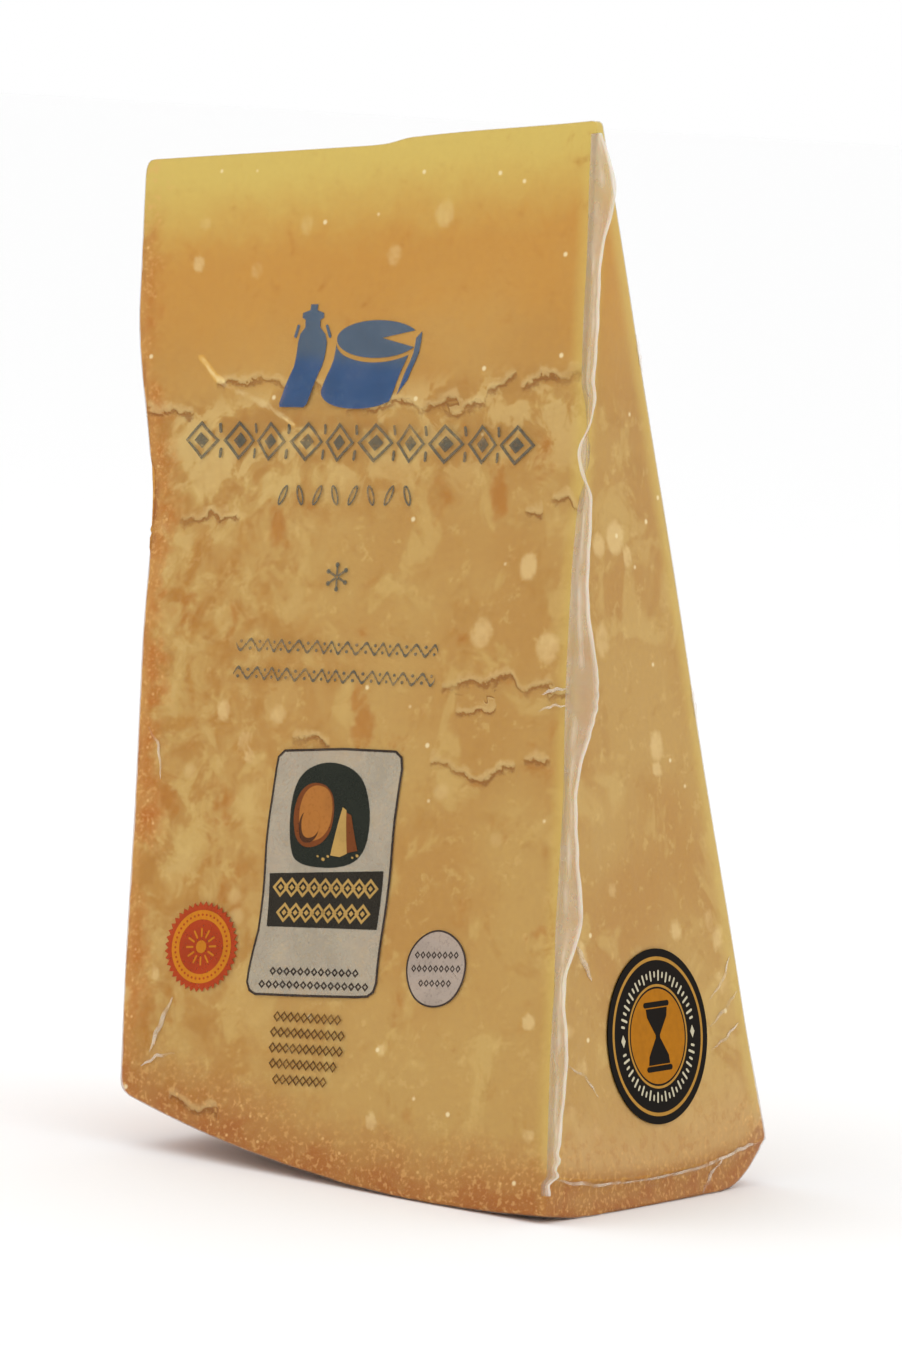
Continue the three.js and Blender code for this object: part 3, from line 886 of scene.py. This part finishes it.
def lay_disc(ink, right, up, radius, sides=48, tall=1.0, turn=0.0, layer=0, hollow=0.0):
    """A disc or polygon, or a ring of it when it is hollow by some thickness."""
    middle_at = (right * MM, up * MM, layer * PRINT_LAYER * MM)
    bpy.ops.mesh.primitive_circle_add(
        vertices=sides, radius=radius * MM, fill_type="NGON", location=middle_at)
    bpy.ops.transform.resize(value=(1, tall, 1), center_override=middle_at)
    if turn:
        bpy.ops.transform.rotate(
            value=math.radians(turn), orient_axis="Z", center_override=middle_at)
    bpy.context.object.active_material_index = ink
    bpy.ops.object.material_slot_assign()
    if hollow:
        bpy.ops.mesh.inset(thickness=hollow * MM, depth=0)
        bpy.ops.mesh.delete(type="FACE")


def lay_outline(ink, corners, layer=0, hollow=0.0):
    """A flat shape with the given corners, right and up, drawn from a many-sided circle."""
    bpy.ops.mesh.primitive_circle_add(vertices=len(corners), radius=MM, fill_type="NGON")
    bpy.context.object.active_material_index = ink
    bpy.ops.object.material_slot_assign()
    mesh = bmesh.from_edit_mesh(bpy.context.object.data)
    face = next(face for face in mesh.faces if face.select)
    pairs = zip(corners, corners[1:] + corners[:1])
    clockwise = sum(a[0] * b[1] - b[0] * a[1] for a, b in pairs) < 0
    corners = corners[::-1] if clockwise else corners
    face.normal_update()
    places = corners if face.normal.z > 0 else corners[::-1]
    for vertex, (right, up) in zip(face.verts, places):
        vertex.co = (right * MM, up * MM, layer * PRINT_LAYER * MM)
    bmesh.update_edit_mesh(bpy.context.object.data)
    if hollow:
        bpy.ops.mesh.inset(thickness=hollow * MM, depth=0)
        bpy.ops.mesh.delete(type="FACE")


def turn_right(degrees):
    return math.cos(math.radians(degrees))


def turn_up(degrees):
    return math.sin(math.radians(degrees))


def lay_bar(ink, right, up, length, width, turn=0.0, layer=0):
    """A bar with rounded ends."""
    half = length / 2 - width / 2
    turned = []
    for end in (1, -1):
        for step in range(5):
            angle = math.radians((0 if end == 1 else 180) + (step - 2) * 45)
            along = end * half + width / 2 * math.cos(angle)
            aside = width / 2 * math.sin(angle)
            turned.append((right + along * turn_right(turn) - aside * turn_up(turn),
                           up + along * turn_up(turn) + aside * turn_right(turn)))
    lay_outline(ink, turned, layer)


def on_printed_face(middle_x, middle_r, tilt=0.0, drag=None):
    """A way to lay flat points on the printed face: turned clockwise by the tilt, in degrees."""
    def place(flat):
        spin = math.radians(tilt)
        right, up = flat[:, 0] / MM, flat[:, 1] / MM
        x = middle_x + right * math.cos(spin) + up * math.sin(spin)
        r = middle_r + right * math.sin(spin) - up * math.cos(spin)
        if drag:
            x = x + drag(x, r)
        return stand(on_printed_side(x, r, PRINT_LIFT + flat[:, 2] / MM))
    return place


def thicken(piece, name, skin):
    """Gives a bent sheet its thickness, inward, and shades it smooth except along its rim."""
    solid = piece.modifiers.new(name, "SOLIDIFY")
    solid.thickness = skin * MM
    solid.offset = -1
    bpy.ops.object.modifier_apply(modifier=solid.name)
    bpy.ops.object.shade_smooth_by_angle(angle=math.radians(40))


def finish_art(art, place, step=2.0, skin=0.03, nodes=("sealed_pack",)):
    """Cuts the flat drawing into strips so that it can bend, lays it in place and thickens it."""
    corners = vertices_in_edit(art)
    for axis in (0, 1):
        low, high = corners[:, axis].min(), corners[:, axis].max()
        for at in np.arange(low + step * MM / 2, high, step * MM):
            bpy.ops.mesh.select_all(action="SELECT")
            point, normal = [0, 0, 0], [0, 0, 0]
            point[axis], normal[axis] = at, 1
            bpy.ops.mesh.bisect(plane_co=point, plane_no=normal)
    bpy.ops.object.mode_set(mode="OBJECT")
    set_vertices(art, place(vertices(art)))
    thicken(art, "ink_thickness", skin)
    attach(art, "root")
    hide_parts(*nodes)


def vertices_in_edit(piece):
    mesh = bmesh.from_edit_mesh(piece.data)
    return np.array([vertex.co[:] for vertex in mesh.verts])


def fold_drag(x, r):
    """The film slid toward the rind end as it was drawn over the torn ledge."""
    return -0.42 * np.maximum(r - 47, 0) * (1 - rise(r, 56, 60)) + 0.25 * np.sin(r / 2.1)


# the blue is hazier above the torn ledge, where the film stands off the cheese
tree = INKS["blue"].node_tree
effect = next(made for made in tree.nodes if made.bl_idname == "ShaderNodeGroup")
place = node(tree, "SeparateXYZ", {0: node(tree, "TexCoord").outputs["Object"]}).outputs["Z"]
TOUCH_HEIGHT = 0.1625
hazy = fade(tree, place, TOUCH_HEIGHT - 0.002, TOUCH_HEIGHT + 0.002)
tree.links.new(blend(tree, hazy, srgb(58, 93, 136), srgb(88, 108, 128)), effect.inputs["Colour"])


def rounded(corners, steps=4):
    """The same closed shape with a smooth curve through its corners."""
    points = np.array(corners, float)
    before, after, beyond = np.roll(points, 1, 0), np.roll(points, -1, 0), np.roll(points, -2, 0)
    curve = []
    for t in np.arange(steps) / steps:
        square = 2 * before - 5 * points + 4 * after - beyond
        cube = 3 * (points - after) + beyond - before
        curve.append(points + 0.5 * ((after - before) * t + square * t**2 + cube * t**3))
    return [tuple(point) for corner in zip(*curve) for point in corner]


art = start_art("blue_picture", ["blue"])
can = [(-3.2, -10.9), (3.2, -10.9), (3.7, -10.2), (3.7, 2.2), (3.2, 4.0), (1.9, 5.4),
       (1.9, 7.0), (2.7, 7.4), (2.7, 8.4), (0.9, 9.0), (0.9, 10.2), (-0.9, 10.2), (-0.9, 9.0),
       (-2.7, 8.4), (-2.7, 7.4), (-1.9, 7.0), (-1.9, 5.4), (-3.2, 4.0), (-3.7, 2.2),
       (-3.7, -10.2)]
lay_outline(0, [(right - 12.0, up) for right, up in can])
for handle in (-1, 1):
    lay_bar(0, -12.0 + handle * 4.0, 4.6, 3.0, 0.7, 90 + handle * 20)
TOP_WIDE, TOP_TALL = 10.4, 3.9
WHEEL_AT = 4.6


def arc(start, end, steps, raised):
    """Part of the wheel's oval, from one share of a half turn to another."""
    angles = np.linspace(start * math.pi, end * math.pi, steps)
    return [(WHEEL_AT + TOP_WIDE * math.cos(t), TOP_TALL * math.sin(t) + raised) for t in angles]


lay_outline(0, arc(0.15, 1.86, 40, 3.0) + [(WHEEL_AT + 1.0, 3.2)])
lay_outline(0, arc(1, 1.8, 24, 2.1) + arc(1.8, 1, 24, -7.2))
lay_outline(0, [(14.2, 3.2), (15.6, 4.6), (15.6, -5.2), (14.2, -8.2)])
finish_art(art, on_printed_face(-4.0, 45.4, 4.2, fold_drag), 1.5)

# The lozenge row: the widest line of the print, ten double lozenges with pairs of short bars
# between them, in the same thin slate ink as the smaller rows below it.
art = start_art("lozenge_row", ["slate"])
for i in range(10):
    middle_at = (i - 4.5) * 8.9
    lay_disc(0, middle_at, 0, 4.1, 4, 1.0, 0, 0, 0.62)
    lay_disc(0, middle_at, 0, 1.7, 4, 1.0)
    if i < 9:
        lay_bar(0, middle_at + 4.45, 2.6, 2.2, 0.7, 90)
        lay_bar(0, middle_at + 4.45, -2.6, 2.2, 0.7, 90)
finish_art(art, on_printed_face(-3.4, 63.8, 4.4, lambda x, r: 0.5 * np.sin(x / 3.1)))

# The leaf row: eight small outlined leaves, leaning by turns left and right. A finer line in the
# same slate ink, printed in the same pass.
art = start_art("leaf_row", ["slate"])
for i in range(8):
    lay_disc(0, (i - 3.5) * 4.5, 0, 2.3, 12, 0.36, 68 if i % 2 else -68, 0, 0.42)
finish_art(art, on_printed_face(-6.0, 74.5, 3.6))

# The small star: six arms that end in drops, alone on the flat paste between the two groups of
# lines, in slate ink.
art = start_art("small_star", ["slate"])
for i in range(6):
    angle = math.radians(60 * i + 30)
    lay_bar(0, 1.5 * math.cos(angle), 1.5 * math.sin(angle), 2.6, 0.5, 60 * i + 30)
    lay_disc(0, 2.5 * math.cos(angle), 2.5 * math.sin(angle), 0.52, 12, 1.0, 0, 1)
finish_art(art, on_printed_face(-6.2, 91.2))

# The wave rows: two running waves with a dot in each bend, in slate ink. The film is rippled here,
# so the lines waver a little.
art = start_art("wave_rows", ["slate"])
for row, (up, count) in enumerate([(2.9, 24), (-2.9, 24)]):
    for i in range(count):
        middle_at = (i - (count - 1) / 2) * 2.12
        bend_way = 1 if (i + row) % 2 else -1
        bend = [(middle_at + 1.06 * t, math.cos(t * math.pi / 2)) for t in np.linspace(-1, 1, 9)]
        arch = [(right, up + bend_way * (1.45 * tall)) for right, tall in bend]
        inner = [(right, up + bend_way * (1.45 * tall - 0.5 - 0.15 * tall)) for right, tall in bend]
        lay_outline(0, arch + inner[::-1])
        lay_disc(0, middle_at, up - bend_way * 0.7, 0.36, 8)
finish_art(art, on_printed_face(-5.8, 108.6, 4.2, lambda x, r: 0.4 * np.sin(x / 2.3)))

# The white panel: a tall field of thin white ink that lets the cheese show through, with a dark
# outline, a dark round picture of a wheel and a piece, a dark bar with two rows of gold lozenges
# and two fine rows at the foot. The inks are printed over each other, layer on layer.
WHITE, LINE, GREEN, GOLD, WHEEL, BLACK, CRUST, DEEP = range(8)
art = start_art(
    "white_panel", ["white", "line", "green", "gold", "wheel", "black", "crust", "deep"])
panel = [(-13.4, 24.8), (-15.0, 23.4), (-15.2, 21.0), (-15.3, 14.0), (-15.8, 5.0), (-16.0, -4.0),
         (-16.2, -12.0), (-17.6, -20.0), (-17.9, -22.6), (-17.2, -24.4), (-15.6, -25.2),
         (-4.0, -25.3), (10.0, -25.2), (13.0, -25.0), (14.6, -24.0), (15.3, -22.0), (15.6, -14.0),
         (16.0, -4.0), (16.6, 5.0), (17.2, 14.0), (17.4, 21.0), (16.9, 23.4), (15.2, 24.7),
         (2.0, 25.2)]
lay_outline(WHITE, panel)
lay_outline(LINE, panel, 1, 0.5)
medal = [(-8.8, 3.6), (-9.7, 8.6), (-9.7, 15.2), (-8.4, 19.2), (-5.4, 21.4), (-1.0, 22.2),
         (4.0, 21.2), (7.8, 18.6), (10.0, 14.2), (10.6, 9.6), (9.6, 5.0), (7.0, 2.2), (2.6, 1.0),
         (-3.0, 1.0), (-6.8, 1.8)]
lay_outline(GREEN, rounded(medal), 1)
wheel = rounded([(-8.6, 9.0), (-8.8, 13.0), (-7.6, 16.4), (-5.0, 18.0), (-1.6, 17.6), (0.6, 15.6),
                 (1.4, 12.4), (0.8, 8.4), (-1.6, 5.8), (-5.0, 5.0), (-7.4, 6.2)])
lay_outline(CRUST, wheel, 2)
lay_outline(WHEEL, [(0.82 * right - 0.2, 0.86 * up + 2.0) for right, up in wheel], 3)
lay_outline(DEEP, [(0.5 * right - 2.9, 0.5 * up + 3.4) for right, up in wheel], 4)
lay_outline(WHEEL, [(0.46 * right - 2.6, 0.46 * up + 4.6) for right, up in wheel], 5)
lay_outline(CRUST, [(3.2, 3.6), (7.8, 4.4), (5.9, 11.6), (4.0, 12.4)], 4)
lay_outline(GOLD, [(1.0, 3.4), (3.4, 3.1), (5.2, 3.8), (4.6, 12.6), (3.6, 13.2)], 5)
CRUMBS = [(-0.8, 2.6, 0.45), (0.4, 3.2, 0.35), (-2.2, 3.2, 0.3), (6.6, 3.0, 0.3), (7.8, 3.4, 0.4)]
for right, up, size in CRUMBS:
    lay_disc(GOLD, right, up, size, 7, 0.8, 20, 5)
lay_outline(BLACK, [(-14.4, -0.4), (14.4, 0.4), (14.0, -11.4), (-14.0, -11.2)], 1)
for up, count in [(-3.2, 9), (-8.3, 8)]:
    for i in range(count):
        right = (i - (count - 1) / 2) * 2.85
        lay_disc(GOLD, right, up, 2.05, 4, 1.0, 0, 2, 0.55)
        lay_disc(GOLD, right, up, 0.62, 4, 1.0, 0, 2)
for up, count in [(-20.2, 13), (-22.9, 16)]:
    for i in range(count):
        lay_disc(LINE, (i - (count - 1) / 2) * 1.75 - 0.8, up, 0.86, 4, 1.05, 0, 1, 0.34)
finish_art(art, on_printed_face(-5.2, 151.3, 2.2, lambda x, r: 0.3 * np.sin(r / 4.7)))

# The round seal: a red disc with a saw-toothed rim, a yellow ring with red dots and a plain
# yellow sun, printed in two inks.
art = start_art("round_seal", ["red", "yellow"])
teeth = []
for i in range(80):
    reach = 9.3 if i % 2 else 8.4
    teeth.append((reach * math.cos(math.pi * i / 40), reach * math.sin(math.pi * i / 40)))
lay_outline(0, teeth)
lay_disc(1, 0, 0, 7.5, 56, 1.0, 0, 1, 1.9)
for i in range(40):
    angle = 2 * math.pi * i / 40
    lay_disc(0, 6.55 * math.cos(angle), 6.55 * math.sin(angle), 0.26, 8, 1.0, 0, 2)
for i in range(12):
    angle = 30 * i
    lay_bar(1, 2.9 * turn_right(angle), 2.9 * turn_up(angle), 1.9, 0.42, angle, 1)
lay_disc(1, 0, 0, 1.3, 24, 1.0, 0, 1)
finish_art(art, on_printed_face(-35.9, 165.8), 1.5)

# The cream oval: a small field of cream ink with a dark outline and three rows of fine beads, to
# the right of the panel.
art = start_art("cream_oval", ["cream", "line"])
egg = [(7.3 * math.cos(t) * (1 - 0.05 * math.sin(t) + 0.03 * math.sin(3 * t)), 7.7 * math.sin(t))
       for t in np.linspace(0, 2 * math.pi, 56, endpoint=False)]
lay_outline(0, egg)
lay_outline(1, egg, 1, 0.36)
for up, count in [(2.7, 8), (0, 9), (-2.9, 6)]:
    for i in range(count):
        lay_disc(1, (i - (count - 1) / 2) * 1.35, up, 0.62, 4, 1.25, 0, 1, 0.24)
finish_art(art, on_printed_face(23.4, 171.2, 1.5), 1.5)

# The bead rows: five short rows of outlined brown beads under the panel, the finest print on the
# film.
art = start_art("bead_rows", ["brown"])
for row, count in enumerate([10, 11, 11, 10, 8]):
    for i in range(count):
        right = (i - (count - 1) / 2) * 1.72 + 0.5 * math.sin(row)
        lay_disc(0, right, (2 - row) * 3.15, 0.98, 4, 1.15, 0, 0, 0.32)
finish_art(art, on_printed_face(-8.6, 187.0, 3.4))

# The round label: glossy printed paper glued to the film, black with gold rings round an amber
# middle. It bends with the face under it.
LABEL_RADIUS = 17.5
LABEL_SIDE = 1.8
LABEL_DEPTH = 184.9
LABEL_LIFT = 0.3
PAPER_THICKNESS = 0.22
RINGS = [15.9, 15.2, 13.9, 10.4, 9.9, 9.5]
RING_PAPERS = ["black", "gold", "black", "black", "gold", "black", "amber"]
bpy.ops.object.select_all(action="DESELECT")
bpy.ops.mesh.primitive_circle_add(vertices=96, radius=LABEL_RADIUS * MM, fill_type="NGON")
label = bpy.context.object
label.name = "round_sticker"
bpy.ops.object.mode_set(mode="EDIT")
bpy.ops.mesh.select_mode(type="FACE")
bpy.ops.mesh.select_all(action="SELECT")
papers = {
    "black": srgb(13, 7, 3), "gold": srgb(202, 148, 62), "amber": srgb(196, 124, 14),
    "cream": srgb(226, 216, 184),
}
label_inks = {}
for name, colour in papers.items():
    ink = new_material("label_" + name)
    tree = ink.node_tree
    where = node(tree, "TexCoord").outputs["Object"]
    fibre = node(tree, "TexNoise", {"Vector": where, "Scale": 700.0, "Detail": 3.0}).outputs["Fac"]
    slow = node(tree, "TexNoise", {"Vector": where, "Scale": 60.0, "Detail": 1.0}).outputs["Fac"]
    shade = blend(tree, together(fibre, 0.3), colour, (0.0, 0.0, 0.0, 1))
    shade = blend(tree, together(slow, 0.3), shade, (0.02, 0.012, 0.005, 1))
    ripple = node(tree, "Bump", {"Height": slow, "Strength": 0.2, "Distance": 0.001})
    finish = node(tree, "BsdfPrincipled", {
        "Base Color": shade, "Roughness": 0.36, "Normal": ripple.outputs[0],
        "Specular IOR Level": 0.04,
    })
    node(tree, "OutputMaterial", {"Surface": finish.outputs[0]})
    label_inks[name] = ink
    label.data.materials.append(ink)
outer = LABEL_RADIUS
label.active_material_index = list(papers).index(RING_PAPERS[0])
bpy.ops.object.material_slot_assign()
for radius, name in zip(RINGS, RING_PAPERS[1:]):
    bpy.ops.mesh.inset(thickness=(outer - radius) * MM, depth=0)
    label.active_material_index = list(papers).index(name)
    bpy.ops.object.material_slot_assign()
    outer = radius
# more rings of the same amber, so that the middle can bend
for radius in (7, 4.5, 2):
    bpy.ops.mesh.inset(thickness=(outer - radius) * MM, depth=0)
    outer = radius
bpy.ops.object.mode_set(mode="OBJECT")


def on_labelled_face(flat, lift):
    """Flat points, right and up in metres from the label's middle, laid on the labelled face."""
    across, down = LABEL_SIDE + flat[:, 0] / MM, LABEL_DEPTH - flat[:, 1] / MM
    return stand(on_labelled_side(across, down, lift))


set_vertices(label, on_labelled_face(vertices(label), LABEL_LIFT))
thicken(label, "paper_thickness", PAPER_THICKNESS)
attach(label, "root")
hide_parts("round_label")

# The sticker's marks: cream rays and two lozenges in the black ring, and a black hourglass in the
# middle, printed on the paper.
INKS["label_cream"] = label_inks["cream"]
INKS["label_black"] = label_inks["black"]
art = start_art("sticker_marks", ["label_cream", "label_black"])
RAYS = 56
for i in range(RAYS):
    angle = 360 * i / RAYS
    if min(angle, abs(angle - 180), 360 - angle) < 12:
        continue
    reach = 12.15 if i % 2 else 12.35
    length = 2.2 if i % 2 else 1.3
    lay_bar(0, reach * turn_right(angle), reach * turn_up(angle), length, 0.5, angle)
for side_way in (1, -1):
    lay_disc(0, side_way * 12.2, 0, 0.75, 4, 1.7)
lay_outline(1, [(-3.7, 5.6), (3.7, 5.6), (3.4, 3.9), (0.75, 0.3), (0.75, -0.3), (3.4, -3.9),
                (3.7, -5.6), (-3.7, -5.6), (-3.4, -3.9), (-0.75, -0.3), (-0.75, 0.3),
                (-3.4, 3.9)])
lay_bar(1, 0, 6.4, 9.0, 1.1)
lay_bar(1, 0, -6.4, 9.0, 1.1)
MARKS_LIFT = LABEL_LIFT + 0.05
finish_art(art, lambda flat: on_labelled_face(flat, MARKS_LIFT), nodes=("round_label",))
